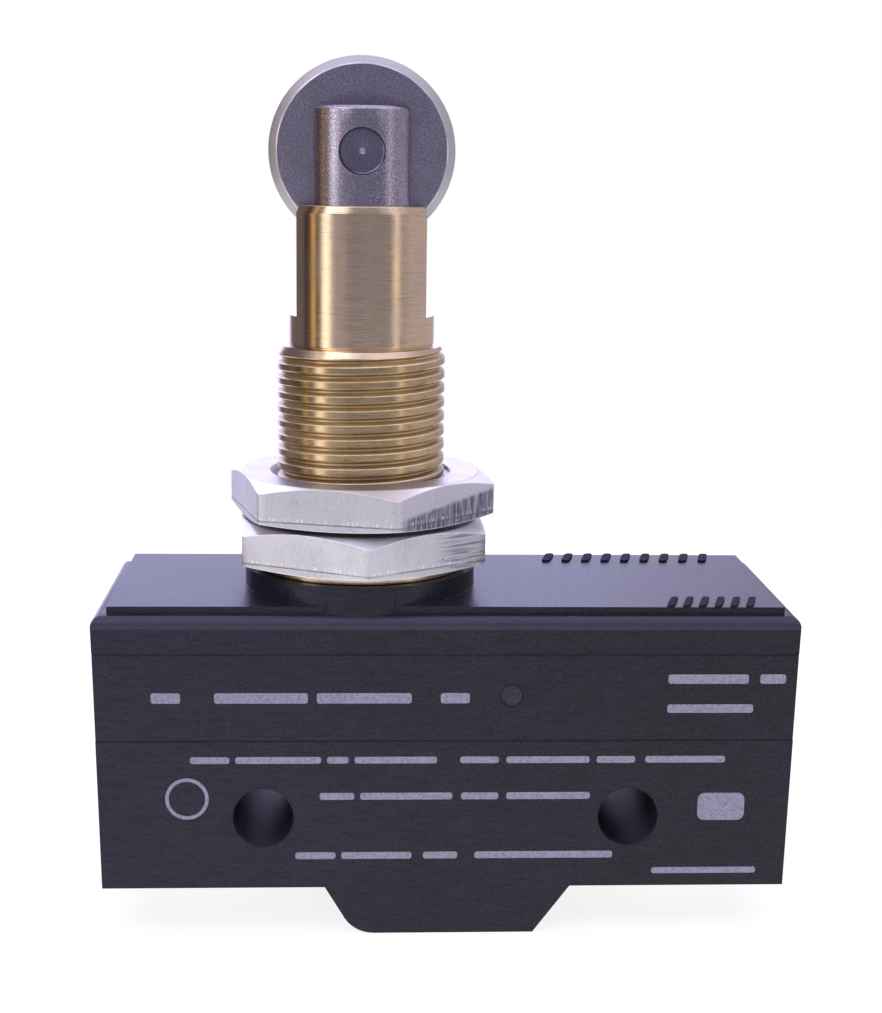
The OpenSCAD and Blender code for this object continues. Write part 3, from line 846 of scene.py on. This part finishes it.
# pale floor, studio light and camera
def studio():
    light = {"floor": (0.26, 0.26, 0.27), "patch": (0.24, 0.24, 0.26), "glow": 0.85,
             "dark": (0.04, 0.036, 0.05), "dim": (0.17, 0.145, 0.19), "near": (0.42, 0.39, 0.5),
             "mid": (0.3, 0.29, 0.38),
             "right": (0.42, 0.39, 0.46), "far": (0.56, 0.52, 0.64), "strip": (2.2, 2.1, 2.1),
             "back": (1.45, 1.4, 2.2), "roof": (1.15, 1.1, 1.45), "thin": (4.2, 3.8, 3.7),
             "gold": (1.1, 0.72, 0.34), "soft": (0.6, 0.57, 0.66)}
    # bands of the walls, by degrees from the camera's side
    bands = [(-180, "back"), (-153, "back"), (-143, "dim"), (-103, "dim"), (-99, "dark"), (-86, "dark"),
             (-82, "gold"), (-78.5, "gold"), (-76, "dark"), (-68, "dark"), (-65, "mid"), (-62, "strip"),
             (-51.5, "strip"), (-49, "near"), (-29, "near"), (-27, "soft"), (-25, "mid"), (8.5, "mid"),
             (9.5, "soft"), (10.5, "mid"), (54.5, "mid"), (55.3, "thin"), (56.5, "thin"), (57.5, "right"),
             (71, "right"), (77, "far"), (150, "far"), (157, "right"), (173, "back"), (180, "back")]
    lamps = {"key": {"spot": (-0.28, -0.3, 0.42), "aim": (-0.006, 0, 0.03), "size": 0.3, "power": 0.45},
             "fill": {"spot": (0.35, -0.25, 0.3), "aim": (0, 0, 0.02), "size": 0.35, "power": 0.12},
             "rim": {"spot": (0.05, 0.35, 0.4), "aim": (0, 0, 0.03), "size": 0.35, "power": 0.2}}
    span = 0.15
    shape = bmesh.new()
    bmesh.ops.create_circle(shape, cap_ends=True, segments=96, radius=span / mm)
    floor = made("floor", shape)
    pale = Finish("floor", light["floor"], Roughness=0.9, Specular_IOR_Level=0.1,
                  Emission_Strength=light["glow"])
    haze = pale.noise(pale.place((0.01, 0.01, 0.01)), 1.0, 2)
    pale.put(Base_Color=pale.blend(haze * 0.3, light["floor"], light["patch"]), Emission_Color=(1, 1, 1))
    floor.data.materials.append(pale.owner)

    sky = Finish("studio", world=True)
    bpy.context.scene.world = sky.owner
    x, y, z = sky.split(sky.add("ShaderNodeTexCoord", output=0))
    turn = x.math("ARCTAN2", x, y * -1) / (2 * math.pi) + 0.5        # 0.5 faces the camera's side
    stops = [(0.5 + degrees / 360, (*light[band], 1)) for degrees, band in bands]
    walls = sky.add("ShaderNodeValToRGB", {"stops": stops}, {"Fac": turn})
    roof = (z * 0.5 + 0.5).ramp((0.79, 0), (0.91, 1))
    glow = sky.blend(roof, walls, light["roof"])
    seen = sky.add("ShaderNodeLightPath")                            # the backdrop itself is white
    sky.put(Color=sky.blend(seen, glow, (1, 1, 1)), Strength=1.0)

    for name, setting in lamps.items():
        lamp = bpy.data.lights.new(name, "AREA")
        lamp.energy = setting["power"]
        lamp.size = setting["size"]
        holder = bpy.data.objects.new(name, lamp)
        holder.location = setting["spot"]
        toward = Vector(setting["aim"]) - Vector(setting["spot"])
        holder.rotation_euler = toward.to_track_quat("-Z", "Y").to_euler()
        holder.visible_camera = False
        bpy.context.scene.collection.objects.link(holder)


def camera():
    view = {"place": (-6.499, -125.259, 53.804), "down": 11.2259, "aside": 2.8649, "tilt": 0.7837,
            "lens": 62.908, "sensor": 36, "clip": (0.005, 20)}
    down, aside, tilt = (math.radians(view[label]) for label in ("down", "aside", "tilt"))
    ahead = Vector((math.sin(aside) * math.cos(down), math.cos(aside) * math.cos(down), -math.sin(down)))
    right = Vector((math.cos(aside), -math.sin(aside), 0))
    up = right.cross(ahead)
    right, up = right * math.cos(tilt) + up * math.sin(tilt), up * math.cos(tilt) - right * math.sin(tilt)
    eye = bpy.data.cameras.new("camera")
    eye.lens = view["lens"]
    eye.sensor_width = view["sensor"]
    eye.clip_start, eye.clip_end = view["clip"]
    holder = bpy.data.objects.new("camera", eye)
    turned = Matrix((right, up, -ahead)).transposed().to_4x4()
    holder.matrix_world = Matrix.Translation(Vector(view["place"]) * mm) @ turned
    bpy.context.scene.collection.objects.link(holder)
    bpy.context.scene.camera = holder


studio()
camera()
bpy.context.scene.view_settings.view_transform = "Standard"
print("studio set")
